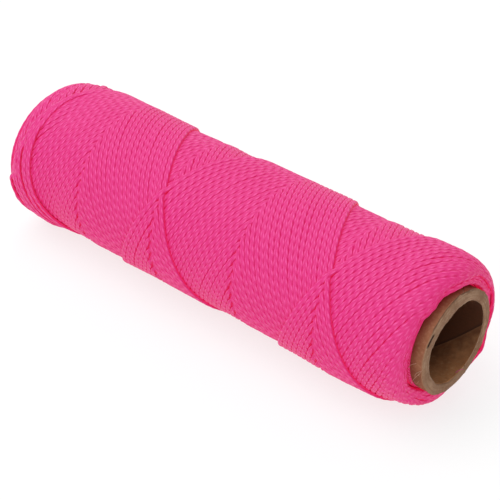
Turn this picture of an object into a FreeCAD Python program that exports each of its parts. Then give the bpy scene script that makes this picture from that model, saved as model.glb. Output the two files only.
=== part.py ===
"""Braided line cross-wound in a domed package on a spiral paper tube.

The tube lies along X and the package rests on its belly at z = 0. Millimetres, +Z up, with the
origin on the resting surface under the middle of the package.
"""
import FreeCAD, Part

import math
import os

import Sketcher

Vector = FreeCAD.Vector

# Driving dimensions, in millimetres, degrees and counts

SIZES = {
    "tube_length": 200.0,
    "bore_radius": 16.0,
    "liner_thickness": 0.35,
    "body_ply_thickness": 0.5,
    "wrap_thickness": 0.3,
    "glue_line": 0.05,
    "butt_gap": 0.5,
    "ply_lead": 92.0,
    "seam_stagger": 37.0,
    "winding_length": 195.0,
    "winding_radius": 29.5,
    "winding_seat": 0.05,
    "dome_length": 12.5,
    "line_diameter": 1.8,
    "turn_clearance": 0.3,
    "crossing_clearance": 0.5,
    "end_margin": 4.2,
    "reversal_angle": 60.0,
    "crossover_angle": 36.0,
    "end_setback": 8.0,
    "end_bend": 2.5,
    "floor_flat": 0.5,
}

BODY_PLIES = 6
TURNS = 24
CYCLES = 5
QUARTER_TURNS = 9
RETURN_OVER_REST = 5
SEAM_OVERCUT = 0.2
SPAN = 500.0

doc = FreeCAD.newDocument("line_on_paper_tube")


# The sheet of sizes

def make_sheet(values):
    """Write each driving dimension in its own cell, under its own name."""
    sheet = doc.addObject("Spreadsheet::Sheet", "sizes")
    for row, (name, value) in enumerate(values.items(), start=1):
        sheet.set(f"A{row}", name)
        sheet.set(f"B{row}", str(value))
        sheet.setAlias(f"B{row}", name)
    doc.recompute()
    return sheet


sheet = make_sheet(SIZES)

TUBE_RADIUS = (
    "(sizes.bore_radius + sizes.liner_thickness + sizes.wrap_thickness"
    f" + {BODY_PLIES} * sizes.body_ply_thickness + {BODY_PLIES + 1} * sizes.glue_line)"
)
SEAT_RADIUS = f"({TUBE_RADIUS} + sizes.winding_seat)"
BELLY_RADIUS = (
    "(sizes.winding_radius - 2 * sizes.line_diameter"
    " - sizes.crossing_clearance - sizes.turn_clearance)"
)
AXIS_HEIGHT = "(sizes.winding_radius - sizes.floor_flat)"


# Sketch helpers

def origin_plane(body, role):
    """Return one of a body's own origin planes."""
    return next(item for item in body.Origin.OriginFeatures if item.Role == role)


def new_sketch(body, name, role):
    """Put an empty sketch on one of the body's origin planes."""
    sketch = body.newObject("Sketcher::SketchObject", name)
    sketch.AttachmentSupport = [(origin_plane(body, role), "")]
    sketch.MapMode = "FlatFace"
    return sketch


def drive(sketch, name, constraint, expression):
    """Add a named constraint whose value comes from the sheet."""
    index = sketch.addConstraint(constraint)
    sketch.renameConstraint(index, name)
    sketch.setExpression(f"Constraints.{name}", expression)


def new_body(label):
    """Make a body that stands with its axis at the height of the package's axis."""
    body = doc.addObject("PartDesign::Body", label)
    body.Label = label
    body.setExpression(".Placement.Base.z", AXIS_HEIGHT)
    return body


# The tube: strips of board wound in helices, one over another

def ring_pad(body, inner, outer):
    """Pad one ply's ring to the tube's length, half each way from the middle."""
    ring = new_sketch(body, f"{body.Label}_ring", "YZ_Plane")
    centre = Vector(0, 0, 0)
    for name, radius in (("outer", outer), ("inner", inner)):
        circle = ring.addGeometry(Part.Circle(centre, Vector(0, 0, 1), 1.0), False)
        ring.addConstraint(Sketcher.Constraint("Coincident", circle, 3, -1, 1))
        drive(ring, name, Sketcher.Constraint("Radius", circle, 1.0), radius)
    wall = body.newObject("PartDesign::Pad", f"{body.Label}_wall")
    wall.Profile = ring
    wall.Midplane = True
    wall.setExpression("Length", "sizes.tube_length")


def butt_seam(body, inner, outer, step):
    """Cut the helical gap between the strip's edges, one stagger further on for each ply."""
    gap = new_sketch(body, f"{body.Label}_gap", "XZ_Plane")
    corners = [Vector(0, 1, 0), Vector(1, 1, 0), Vector(1, 2, 0), Vector(0, 2, 0)]
    for index, corner in enumerate(corners):
        gap.addGeometry(Part.LineSegment(corner, corners[(index + 1) % 4]), False)
    for index in range(4):
        gap.addConstraint(Sketcher.Constraint("Coincident", index, 2, (index + 1) % 4, 1))
    for index, direction in enumerate(("Horizontal", "Vertical", "Horizontal", "Vertical")):
        gap.addConstraint(Sketcher.Constraint(direction, index))
    start = f"-(sizes.tube_length / 2 + sizes.ply_lead + {step} * sizes.seam_stagger)"
    rise = f"({outer} - {inner} + {2 * SEAM_OVERCUT})"
    drive(gap, "width", Sketcher.Constraint("DistanceX", 0, 1, 0, 2, 1.0), "sizes.butt_gap")
    drive(gap, "rise", Sketcher.Constraint("DistanceY", 1, 1, 1, 2, 1.0), rise)
    drive(gap, "start", Sketcher.Constraint("DistanceX", -1, 1, 0, 1, -1.0), start)
    drive(gap, "foot", Sketcher.Constraint("DistanceY", -1, 1, 0, 1, 1.0), f"{inner} - {SEAM_OVERCUT}")
    doc.recompute()
    seam = body.newObject("PartDesign::SubtractiveHelix", f"{body.Label}_seam")
    seam.Profile = gap
    seam.ReferenceAxis = (gap, ["H_Axis"])
    seam.Mode = "pitch-height-angle"
    seam.setExpression("Pitch", "sizes.ply_lead")
    seam.setExpression("Height", f"sizes.tube_length + 2 * sizes.ply_lead + {step} * sizes.seam_stagger")
    seam.Angle = 0


def make_ply(label, inner, thickness, step):
    """Make one ply of the tube: a ring with its strip's helical butt seam."""
    body = new_body(label)
    outer = f"({inner} + {thickness})"
    ring_pad(body, inner, outer)
    butt_seam(body, inner, outer, step)
    return body


def make_tube():
    """Make the plies from the bore outwards."""
    plies = [make_ply("core_inner_liner", "sizes.bore_radius", "sizes.liner_thickness", 0)]
    for index in range(BODY_PLIES):
        inner = (
            "(sizes.bore_radius + sizes.liner_thickness"
            f" + {index} * sizes.body_ply_thickness + {index + 1} * sizes.glue_line)"
        )
        plies.append(make_ply(f"core_body_ply_{index + 1}", inner, "sizes.body_ply_thickness", index + 1))
    plies.append(
        make_ply("core_outer_wrap", f"({TUBE_RADIUS} - sizes.wrap_thickness)", "sizes.wrap_thickness",
                 BODY_PLIES + 1)
    )
    return plies


# The inner layers of line: a solid ring with domed ends

def make_inner_layers():
    """Revolve the built-up layers: a straight belly with one arc down to the tube at each end."""
    body = new_body("line_inner_layers")
    profile = new_sketch(body, "layers_profile", "XZ_Plane")
    far_foot, far_top = Vector(-98, 20, 0), Vector(-85, 25, 0)
    near_foot, near_top = Vector(98, 20, 0), Vector(85, 25, 0)
    far_middle, near_middle = Vector(-93, 23.5, 0), Vector(93, 23.5, 0)
    seat = profile.addGeometry(Part.LineSegment(near_foot, far_foot), False)
    far_dome = profile.addGeometry(Part.Arc(far_foot, far_middle, far_top), False)
    belly = profile.addGeometry(Part.LineSegment(far_top, near_top), False)
    near_dome = profile.addGeometry(Part.Arc(near_top, near_middle, near_foot), False)
    far_start, far_end = arc_ends(profile, far_dome, far_foot)
    near_end, near_start = arc_ends(profile, near_dome, near_foot)
    profile.addConstraint(Sketcher.Constraint("Coincident", seat, 2, far_dome, far_start))
    profile.addConstraint(Sketcher.Constraint("Coincident", seat, 1, near_dome, near_end))
    profile.addConstraint(Sketcher.Constraint("Tangent", far_dome, far_end, belly, 1))
    profile.addConstraint(Sketcher.Constraint("Tangent", near_dome, near_start, belly, 2))
    profile.addConstraint(Sketcher.Constraint("Symmetric", seat, 1, seat, 2, -2))
    profile.addConstraint(Sketcher.Constraint("Symmetric", belly, 1, belly, 2, -2))
    drive(profile, "length", Sketcher.Constraint("DistanceX", seat, 2, seat, 1, 196.0), "sizes.winding_length")
    drive(profile, "straight", Sketcher.Constraint("DistanceX", belly, 1, belly, 2, 170.0),
          "sizes.winding_length - 2 * sizes.dome_length")
    drive(profile, "seat", Sketcher.Constraint("DistanceY", -1, 1, seat, 1, 20.0), SEAT_RADIUS)
    drive(profile, "belly", Sketcher.Constraint("DistanceY", -1, 1, belly, 1, 25.0), BELLY_RADIUS)
    doc.recompute()
    layers = body.newObject("PartDesign::Revolution", "layers")
    layers.Profile = profile
    layers.ReferenceAxis = (profile, ["H_Axis"])
    layers.Angle = 360
    return body


def arc_ends(sketch, index, foot):
    """Tell which end of an arc is its foot: the foot's number first, then the other end's."""
    if sketch.getPoint(index, 1).distanceToPoint(foot) < 0.01:
        return 1, 2
    return 2, 1


# The outer turns: one unbroken tube that winds out and back over the inner layers

class Winding:
    """The line's centre as a function of the angle wound, and the arcs that follow it.

    Traverses towards +X lie on the low level, straight on the inner layers, and traverses back
    lie on the high level, over them. The line changes level round each reversal.
    """

    def __init__(self):
        seat = value(SEAT_RADIUS)
        self.belly = value(BELLY_RADIUS)
        dome = sheet.dome_length
        drop = self.belly - seat
        self.straight = sheet.winding_length / 2 - dome
        self.dome_radius = (dome ** 2 + drop ** 2) / (2 * drop)
        self.dome_sweep = math.atan2(dome, self.dome_radius - drop)
        self.low = sheet.turn_clearance + sheet.line_diameter / 2
        self.high = self.low + sheet.line_diameter + sheet.crossing_clearance
        self.traverse = 360.0 * TURNS / (2 * CYCLES)
        self.amplitude = self.straight + self.dome_radius * self.dome_sweep - sheet.end_margin
        self.rise = self.amplitude / (self.traverse / 2 - sheet.reversal_angle / 2)
        self.first_angle = 180.0 + (RETURN_OVER_REST + 0.5) * self.traverse

    def along(self, wound):
        """Distance along the layers' profile from its middle, at an angle wound."""
        index = round(wound / self.traverse)
        past = abs(wound - index * self.traverse)
        rounding = sheet.reversal_angle
        if past < rounding:
            back = self.rise * past ** 2 / (2 * rounding)
        else:
            back = self.rise * (past - rounding / 2)
        side = 1 if index % 2 else -1
        return side * (self.amplitude - back)

    def level(self, wound):
        """Height of the line's centre over the inner layers, at an angle wound."""
        index = round(wound / self.traverse)
        past = wound - index * self.traverse
        share = 0.5 + past / (2 * sheet.crossover_angle)
        share = min(max(share, 0.0), 1.0)
        smooth = share * share * (3 - 2 * share)
        before, after = (self.low, self.high) if index % 2 else (self.high, self.low)
        return before + (after - before) * smooth

    def place(self, wound, height):
        """Point at a height over the layers, and the surface's normal there."""
        along = self.along(wound)
        angle = math.radians(self.first_angle - wound)
        tilt = max(abs(along) - self.straight, 0.0) / self.dome_radius
        tilt = math.copysign(tilt, along)
        reach = self.dome_radius + height
        foot = math.copysign(min(abs(along), self.straight), along)
        station = foot + reach * math.sin(tilt)
        radius = self.belly - self.dome_radius + reach * math.cos(tilt)
        outwards = Vector(0, -math.sin(angle), math.cos(angle))
        centre = Vector(station, 0, value(AXIS_HEIGHT)) + outwards * radius
        normal = Vector(math.sin(tilt), 0, 0) + outwards * math.cos(tilt)
        return centre, normal

    def centre(self, wound):
        """The line's centre at an angle wound."""
        return self.place(wound, self.level(wound))[0]

    def heading(self, wound):
        """Unit direction of the line at an angle wound."""
        step = 0.01
        return (self.centre(wound + step) - self.centre(wound - step)).normalize()

    def stations(self):
        """Angles wound where arcs meet: each side of a reversal, and each quarter turn between."""
        edge = sheet.crossover_angle
        quarter = (self.traverse - 2 * edge) / QUARTER_TURNS
        angles = []
        for index in range(2 * CYCLES):
            start = index * self.traverse + edge
            angles.extend(start + step * quarter for step in range(QUARTER_TURNS + 1))
        return angles

    def line_end(self, wound, leaving):
        """Edges of a free end: square to the layers for one diameter, then bent along them.

        Returns the edges from the layers outwards, with the point and direction where they stop.
        """
        foot, normal = self.place(wound, 0.0)
        ahead = self.centre(wound + 1.0) - self.centre(wound - 1.0)
        along = (ahead - normal * ahead.dot(normal)).normalize()
        along = along if leaving else -along
        top = foot + normal * sheet.line_diameter
        bend = sheet.end_bend
        middle = top + along * bend * (1 - math.sqrt(0.5)) + normal * bend * math.sqrt(0.5)
        out = top + along * bend + normal * bend
        return [Part.LineSegment(foot, top).toShape(), Part.Arc(top, middle, out).toShape()], out, along

    def path(self):
        """The whole centre line: end, traverses out and back, end."""
        setback = sheet.end_setback
        whole = 2 * CYCLES * self.traverse
        edges, point, direction = self.line_end(setback, True)
        for angle in self.stations():
            target, heading = self.centre(angle), self.heading(angle)
            edges.extend(biarc(point, direction, target, heading))
            point, direction = target, heading
        closing, last, back = self.line_end(whole - setback, False)
        edges.extend(biarc(point, direction, last, -back))
        edges.extend(reversed_edges(closing))
        return edges


def value(expression):
    """Work out an expression of the sheet's sizes as a number."""
    names = {name: sheet.get(name) for name in SIZES}
    for name in sorted(names, key=len, reverse=True):
        expression = expression.replace(f"sizes.{name}", repr(float(names[name])))
    return float(doc.sizes.evalExpression(expression))


def biarc(start, start_way, finish, finish_way):
    """Two tangent arcs from one point and direction to another."""
    chord = finish - start
    ways = start_way + finish_way
    spread = 2 * (1 - start_way.dot(finish_way))
    reach = chord.dot(ways)
    if spread < 1e-9:
        length = chord.dot(chord) / (2 * reach)
    else:
        length = (math.sqrt(reach ** 2 + spread * chord.dot(chord)) - reach) / spread
    joint = (start + finish + (start_way - finish_way) * length) * 0.5
    return [tangent_arc(start, start + start_way * length, joint),
            tangent_arc(joint, finish - finish_way * length, finish)]


def tangent_arc(start, corner, finish):
    """Arc from start to finish whose tangents meet at the corner."""
    chord = finish - start
    middle = (start + finish) * 0.5
    out = corner - middle
    if out.Length < 1e-6:
        return Part.LineSegment(start, finish).toShape()
    half_turn = math.atan2(out.Length, chord.Length / 2)
    rise = chord.Length / 2 * math.tan(half_turn / 2)
    return Part.Arc(start, middle + out.normalize() * rise, finish).toShape()


def reversed_edges(edges):
    """The same edges, run the other way."""
    turned = []
    for edge in reversed(edges):
        first, last = edge.FirstParameter, edge.LastParameter
        ends = [edge.valueAt(last), edge.valueAt((first + last) / 2), edge.valueAt(first)]
        straight = edge.Curve.TypeId == "Part::GeomLine"
        turned.append(Part.LineSegment(ends[0], ends[2]).toShape() if straight
                      else Part.Arc(*ends).toShape())
    return turned


def make_outer_turns(winding):
    """Sweep the line's round section along its path, and flatten it where the package rests."""
    edges = winding.path()
    wire = Part.Wire(edges)
    start = edges[0].valueAt(edges[0].FirstParameter)
    way = edges[0].tangentAt(edges[0].FirstParameter)
    section = Part.Wire(Part.Circle(start, way, sheet.line_diameter / 2).toShape())
    tube = doc.addObject("Part::Feature", "line_outer_turns_round")
    tube.Shape = wire.makePipeShell([section], True, False)
    floor = doc.addObject("Part::Box", "resting_plane")
    floor.Length = SPAN
    floor.Width = SPAN
    floor.Height = SPAN
    floor.Placement.Base = Vector(-SPAN / 2, -SPAN / 2, -SPAN)
    turns = doc.addObject("Part::Cut", "line_outer_turns")
    turns.Label = "line_outer_turns"
    turns.Base = tube
    turns.Tool = floor
    section_area = math.pi * sheet.line_diameter ** 2 / 4
    print(f"outer turns: length {wire.Length:.1f} mm, least bend radius {least_radius(edges):.2f} mm")
    print(f"outer turns: volume over section times length {tube.Shape.Volume / section_area / wire.Length:.5f}")
    print(f"outer turns: least gap to themselves {least_gap(edges):.3f} mm")
    return turns


def least_radius(edges):
    """Smallest radius among the path's arcs."""
    return min(edge.Curve.Radius for edge in edges if edge.Curve.TypeId == "Part::GeomCircle")


def least_gap(edges):
    """Least clear distance between stretches of the tube that aren't neighbours along it."""
    spacing = 0.6
    points = []
    for edge in edges:
        count = max(2, int(edge.Length / spacing))
        points.extend(edge.discretize(count + 1)[:-1])
    reach = 4 * sheet.line_diameter
    skip = int(reach / spacing) * 2
    order = sorted(range(len(points)), key=lambda index: points[index].x)
    least = reach
    for rank, first in enumerate(order):
        for second in order[rank + 1:]:
            if points[second].x - points[first].x > least:
                break
            if abs(first - second) > skip:
                least = min(least, points[first].distanceToPoint(points[second]))
    return least - sheet.line_diameter


# Assembly, checks and files

def check(parts):
    """Stop if any object failed or any sub-part's shape is not one valid solid."""
    doc.recompute()
    for item in doc.Objects:
        if "Invalid" in item.State or "Error" in item.State:
            raise RuntimeError(f"{item.Label} failed: {item.State}")
    for part in parts:
        shape = part.Shape
        if shape.isNull() or not shape.isValid() or len(shape.Solids) != 1:
            raise RuntimeError(f"{part.Label} is not one valid solid")
        box = shape.optimalBoundingBox(True, False)
        print(f"{part.Label}: volume {shape.Volume:.1f}, x {box.XMin:.2f} to {box.XMax:.2f},"
              f" y {box.YMin:.2f} to {box.YMax:.2f}, z {box.ZMin:.2f} to {box.ZMax:.2f}")


def main():
    """Build the package and write each sub-part's file."""
    parts = make_tube()
    parts.append(make_inner_layers())
    parts.append(make_outer_turns(Winding()))
    check(parts)
    os.makedirs("parts", exist_ok=True)
    for part in parts:
        part.Shape.exportStep(f"parts/{part.Label}.step")


main()
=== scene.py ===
"""A package of braided pink line, cross-wound on a spiral paper tube.

The tube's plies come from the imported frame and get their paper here. The line is laid strand by
strand, as the winder lays it: a height map over the package says how high each new strand rides.
Sizes are in millimetres, but metres in the finishes and the studio. Angles round the tube's axis
are in degrees, from the top towards -Y.
"""

import logging
import math
from dataclasses import astuple, dataclass, field
from enum import Enum

import bpy
import numpy as np
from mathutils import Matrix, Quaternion, Vector


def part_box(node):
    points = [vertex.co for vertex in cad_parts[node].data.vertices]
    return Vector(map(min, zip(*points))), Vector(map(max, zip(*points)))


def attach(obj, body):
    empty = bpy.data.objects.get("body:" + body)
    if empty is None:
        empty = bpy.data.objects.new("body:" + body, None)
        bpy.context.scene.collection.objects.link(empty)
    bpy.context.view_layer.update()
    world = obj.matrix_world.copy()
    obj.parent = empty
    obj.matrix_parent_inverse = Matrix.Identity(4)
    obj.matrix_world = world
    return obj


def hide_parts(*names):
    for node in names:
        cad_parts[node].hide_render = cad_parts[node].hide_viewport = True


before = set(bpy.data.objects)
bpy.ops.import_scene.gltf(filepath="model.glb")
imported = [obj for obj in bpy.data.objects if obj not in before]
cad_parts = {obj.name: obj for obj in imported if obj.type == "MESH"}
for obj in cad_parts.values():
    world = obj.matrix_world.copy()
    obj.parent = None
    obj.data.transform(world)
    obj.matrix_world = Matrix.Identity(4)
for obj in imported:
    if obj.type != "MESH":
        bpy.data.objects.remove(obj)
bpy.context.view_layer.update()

LOG = logging.getLogger("line_package")
MM = 0.001
BODY = "root"
UV_MAP = "line"
# How far inside the CAD's belly the even outline lies.
BELLY_INSET = 0.1

Array = np.ndarray
Values = np.ndarray | float
Piece = bpy.types.Object
Socket = bpy.types.NodeSocket
Colour = tuple[float, float, float]
Place = tuple[float, float, float]


class Slot(Enum):
    """The record's material slots for the line's braid and the tube's board."""

    LINE = "line_braid"
    BOARD = "tube_board"


class End(Enum):
    """The two ends of the package, with the sign of X that each lies at."""

    FAR = -1
    NEAR = 1


@dataclass(frozen=True)
class Ramp:
    """A range of a value, from low to high, and the results at its two ends."""

    low: float
    high: float
    start: float = 0.0
    end: float = 1.0


@dataclass(frozen=True)
class Noise:
    """A noise texture: its scale, its octaves, and its coordinates' factors along each axis."""

    scale: float
    detail: float = 2.0
    stretch: Place = (1.0, 1.0, 1.0)


class Graph:
    """A material's node tree, with a short method for each kind of node that the finishes use.

    The Mix node's sockets for colours share their names with others, so they go by their numbers.
    """

    mix_colours = (6, 7)
    mix_result = 2

    def __init__(self, name: str) -> None:
        """Makes the material and its shader.

        Args:
            name: the material's name.
        """
        self.material = bpy.data.materials.new(name)
        self.material.use_nodes = True
        self.tree = self.material.node_tree
        self.tree.nodes.clear()
        self.output = self.add("OutputMaterial")
        self.shader = self.add("BsdfPrincipled")
        self.feed(self.shader.outputs["BSDF"], self.output.inputs["Surface"])

    def add(self, kind: str) -> bpy.types.Node:
        """Adds a shader node of a kind."""
        return self.tree.nodes.new("ShaderNode" + kind)

    def feed(self, value: object, socket: Socket) -> None:
        """Links a socket's value, or sets it as a constant.

        Args:
            value: an output socket, a number, or a tuple of numbers.
            socket: the input that takes it.
        """
        if isinstance(value, Socket):
            self.tree.links.new(value, socket)
        elif isinstance(value, tuple) and socket.type == "RGBA":
            socket.default_value = (*value, 1.0)
        else:
            socket.default_value = value

    def shade(self, name: str, value: object) -> None:
        """Feeds one of the shader's own sockets."""
        self.feed(value, self.shader.inputs[name])

    def math(self, operation: str, first: object, second: object = 0.0) -> Socket:
        """Adds a Math node.

        Args:
            operation: the node's operation, such as MODULO.
            first: its first value or socket.
            second: its second value or socket.

        Returns:
            The node's output socket.
        """
        node = self.add("Math")
        node.operation = operation
        self.feed(first, node.inputs[0])
        self.feed(second, node.inputs[1])
        return node.outputs[0]

    def plus(self, first: object, second: object) -> Socket:
        """Returns the sum of two values."""
        return self.math("ADD", first, second)

    def minus(self, first: object, second: object) -> Socket:
        """Returns the first value less the second."""
        return self.math("SUBTRACT", first, second)

    def times(self, first: object, second: object) -> Socket:
        """Returns the product of two values."""
        return self.math("MULTIPLY", first, second)

    def ramp(self, value: Socket, ramp: Ramp) -> Socket:
        """Maps a value along a ramp, clamped at its ends.

        Args:
            value: the socket to map.
            ramp: its range and results.

        Returns:
            The mapped socket.
        """
        node = self.add("MapRange")
        names = ("Value", "From Min", "From Max", "To Min", "To Max")
        for name, given in zip(names, (value, *astuple(ramp))):
            self.feed(given, node.inputs[name])
        return node.outputs["Result"]

    def band(self, value: Socket, middle: object, half: float) -> Socket:
        """Returns 1 where a value is at the middle, down to 0 at half a band away."""
        off = self.math("ABSOLUTE", self.minus(value, middle))
        return self.ramp(off, Ramp(0.0, half, 1.0, 0.0))

    def mix(self, share: Socket, first: object, second: object) -> Socket:
        """Mixes two colours.

        Args:
            share: how much of the second colour, from 0 to 1.
            first: the first colour or socket.
            second: the second colour or socket.

        Returns:
            The mixed colour's socket.
        """
        node = self.add("Mix")
        node.data_type = "RGBA"
        self.feed(share, node.inputs["Factor"])
        for number, colour in zip(self.mix_colours, (first, second)):
            self.feed(colour, node.inputs[number])
        return node.outputs[self.mix_result]

    def noise(self, place: Socket, noise: Noise) -> Socket:
        """Adds a noise texture.

        Args:
            place: the coordinates' socket.
            noise: the texture's values.

        Returns:
            The noise's value socket.
        """
        mapping = self.add("Mapping")
        self.feed(place, mapping.inputs["Vector"])
        self.feed(noise.stretch, mapping.inputs["Scale"])
        node = self.add("TexNoise")
        self.feed(mapping.outputs["Vector"], node.inputs["Vector"])
        self.feed(noise.scale, node.inputs["Scale"])
        self.feed(noise.detail, node.inputs["Detail"])
        return node.outputs["Fac"]

    def place(self) -> Socket:
        """Returns the Object coordinates' socket."""
        return self.add("TexCoord").outputs["Object"]

    def split(self, vector: Socket) -> list[Socket]:
        """Returns the X, Y and Z sockets of a vector."""
        node = self.add("SeparateXYZ")
        self.feed(vector, node.inputs[0])
        return list(node.outputs)

    def polar(self, axis_height: float) -> list[Socket]:
        """Reads the place round the tube's axis.

        Args:
            axis_height: the axis's height over the floor.

        Returns:
            The sockets of X, the radius, and the angle in radians.
        """
        x, y, z = self.split(self.place())
        over = self.minus(z, axis_height)
        square = self.plus(self.times(y, y), self.times(over, over))
        angle = self.math("ARCTAN2", self.times(y, -1.0), over)
        return [x, self.math("SQRT", square), angle]

    def bump(self, height: Socket, distance: float) -> None:
        """Feeds the shader's normal from a height.

        Args:
            height: the height's socket.
            distance: the height that 1 stands for.
        """
        node = self.add("Bump")
        self.feed(distance, node.inputs["Distance"])
        self.feed(height, node.inputs["Height"])
        self.shade("Normal", node.outputs["Normal"])


@dataclass(frozen=True)
class BraidFinish:
    """Fluorescent braid: painted highlights on its plaits, painted shade, darker and redder,
    towards the line's sides, a painted shadow under it, and a painted glow.

    The line's UV map gives stitches along the line as U and the turn round it, from its outer
    side, as V. The ramps named after a side take the cosine of that turn.
    """

    name: str = "fluorescent_braid"
    # Painted highlight on the plaits' crests.
    crest_highlight: Colour = (0.46, 0.098, 0.33)
    body: Colour = (0.36, 0.032, 0.2)
    # Painted shade between the plaits.
    shade: Colour = (0.31, 0.021, 0.165)
    # Painted shade in the grooves between strands.
    groove_shade: Colour = (0.285, 0.016, 0.16)
    # Painted shade on the line's flanks.
    edge: Colour = (0.3, 0.018, 0.128)
    # Painted shadow under the line.
    under_shadow: Colour = (0.16, 0.009, 0.05)
    body_tones: Ramp = Ramp(0.22, 0.7)
    highlight_tones: Ramp = Ramp(0.78, 1.3)
    groove_shade_side: Ramp = Ramp(0.84, 0.46)
    flank_shade_side: Ramp = Ramp(0.35, -0.25)
    under_shadow_side: Ramp = Ramp(-0.45, -0.9)
    groove_shade_share: float = 0.95
    groove_shade_breaks: float = 0.15
    # Painted glow for the braid's fluorescence.
    glow: Colour = (1.0, 0.008, 0.06)
    glow_strength: float = 0.405
    edge_glow: float = 0.17
    under_shadow_dimming: float = 0.7
    roughness: float = 0.5
    specular: float = 0.25
    sheen: float = 0.03
    sheen_tint: Colour = (1.0, 0.55, 0.75)
    columns: float = 4.0
    stagger: float = 0.25
    crest_power: float = 1.3
    arch_power: float = 0.7
    fibres: Noise = Noise(26.0, 1.0, (0.35, 2.0, 1.0))
    patches: Noise = Noise(160.0)
    unevenness: float = 0.25
    fibre_relief: float = 0.18
    relief: float = 0.0003

    def material(self) -> bpy.types.Material:
        """Builds the braid's material.

        Returns:
            The material.
        """
        graph = Graph(self.name)
        uv = graph.add("UVMap")
        uv.uv_map = UV_MAP
        along, around, _ = graph.split(uv.outputs["UV"])
        crest, plait = self.plaits(graph, along, around)
        fibres = graph.noise(uv.outputs["UV"], self.fibres)
        patches = graph.noise(graph.place(), self.patches)
        # Painted highlight on the plaits' crests and painted shade between them, over real uneven
        # tone from the fibre and patch noise.
        tone = graph.plus(plait, graph.times(graph.plus(fibres, patches), self.unevenness))
        colour = graph.mix(graph.ramp(tone, self.body_tones), self.shade, self.body)
        colour = graph.mix(graph.ramp(tone, self.highlight_tones), colour, self.crest_highlight)
        # Painted shade, darker and redder, from the line's top towards its sides and flanks, as in
        # the grooves between strands.
        outward = graph.math("COSINE", graph.times(around, 2 * math.pi))
        broken = graph.minus(self.groove_shade_share, graph.times(crest, self.groove_shade_breaks))
        groove_shade = graph.times(graph.ramp(outward, self.groove_shade_side), broken)
        edge = graph.ramp(outward, self.flank_shade_side)
        # Painted shadow under the line; it also dims the painted glow.
        under_shadow = graph.ramp(outward, self.under_shadow_side)
        for share, tint in ((groove_shade, self.groove_shade), (edge, self.edge), (under_shadow, self.under_shadow)):
            colour = graph.mix(share, colour, tint)
        # The emission is a painted glow for the braid's fluorescence, stronger on the flanks and
        # dimmed in the painted shadow under the line.
        glow = graph.plus(graph.times(edge, self.edge_glow), self.glow_strength)
        lit = graph.minus(1.0, graph.times(under_shadow, self.under_shadow_dimming))
        graph.shade("Base Color", colour)
        graph.shade("Roughness", self.roughness)
        graph.shade("Specular IOR Level", self.specular)
        graph.shade("Emission Color", self.glow)
        graph.shade("Emission Strength", graph.times(glow, lit))
        graph.shade("Sheen Weight", self.sheen)
        graph.shade("Sheen Tint", self.sheen_tint)
        graph.bump(graph.plus(plait, graph.times(fibres, self.fibre_relief)), self.relief)
        return graph.material

    def plaits(self, graph: Graph, along: Socket, around: Socket) -> tuple[Socket, Socket]:
        """Works out the braid's pattern: columns of plaits that lean one way and the other.

        Args:
            graph: the material's nodes.
            along: the stitches along the line.
            around: the turn round the line.

        Returns:
            How near the plait's middle a place lies along the line, and the plait's height.
        """
        column = graph.times(around, self.columns)
        parity = graph.math("MODULO", graph.math("FLOOR", column), 2.0)
        across = graph.math("FRACT", column)
        lean = graph.times(graph.minus(0.5, parity), across)
        shifted = graph.plus(along, graph.times(parity, self.stagger))
        stitch = graph.math("FRACT", graph.plus(shifted, lean))
        crest = graph.math("SINE", graph.times(stitch, math.pi))
        arch = graph.math("SINE", graph.times(across, math.pi))
        length = graph.math("POWER", crest, self.crest_power)
        return crest, graph.times(length, graph.math("POWER", arch, self.arch_power))


@dataclass(frozen=True)
class PaperFinish:
    """Paper board: fibres, blotches and a rough surface."""

    name: str
    light: Colour
    dark: Colour
    fleck: Colour
    axis_height: float = 0.029
    blotches: Noise = Noise(110.0, 3.0)
    grain: Noise = Noise(900.0, 3.0)
    fibres: Noise = Noise(720.0, 2.0, (0.25, 1.0, 1.0))
    light_share: Ramp = Ramp(0.35, 0.65)
    fleck_share: Ramp = Ramp(0.5, 0.75, 0.0, 0.5)
    dark_share: Ramp = Ramp(0.42, 0.25, 0.0, 0.45)
    roughness: float = 0.85
    specular: float = 0.2
    fibre_relief: float = 0.7
    grain_relief: float = 0.5
    relief: float = 0.00012

    def material(self) -> bpy.types.Material:
        """Builds the paper's material.

        Returns:
            The material.
        """
        graph = Graph(self.name)
        place = graph.place()
        blotches = graph.noise(place, self.blotches)
        grain = graph.noise(place, self.grain)
        fibres = graph.noise(place, self.fibres)
        base = graph.mix(graph.ramp(blotches, self.light_share), self.dark, self.light)
        base = graph.mix(graph.ramp(grain, self.fleck_share), base, self.fleck)
        base = graph.mix(graph.ramp(fibres, self.dark_share), base, self.dark)
        graph.shade("Base Color", self.mark(graph, base))
        graph.shade("Roughness", self.roughness)
        graph.shade("Specular IOR Level", self.specular)
        raised = graph.times(fibres, self.fibre_relief)
        graph.bump(graph.plus(raised, graph.times(grain, self.grain_relief)), self.relief)
        return graph.material

    def mark(self, graph: Graph, base: Socket) -> Socket:
        """Adds the marks that one paper has and the others don't: none here."""
        return base


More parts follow.
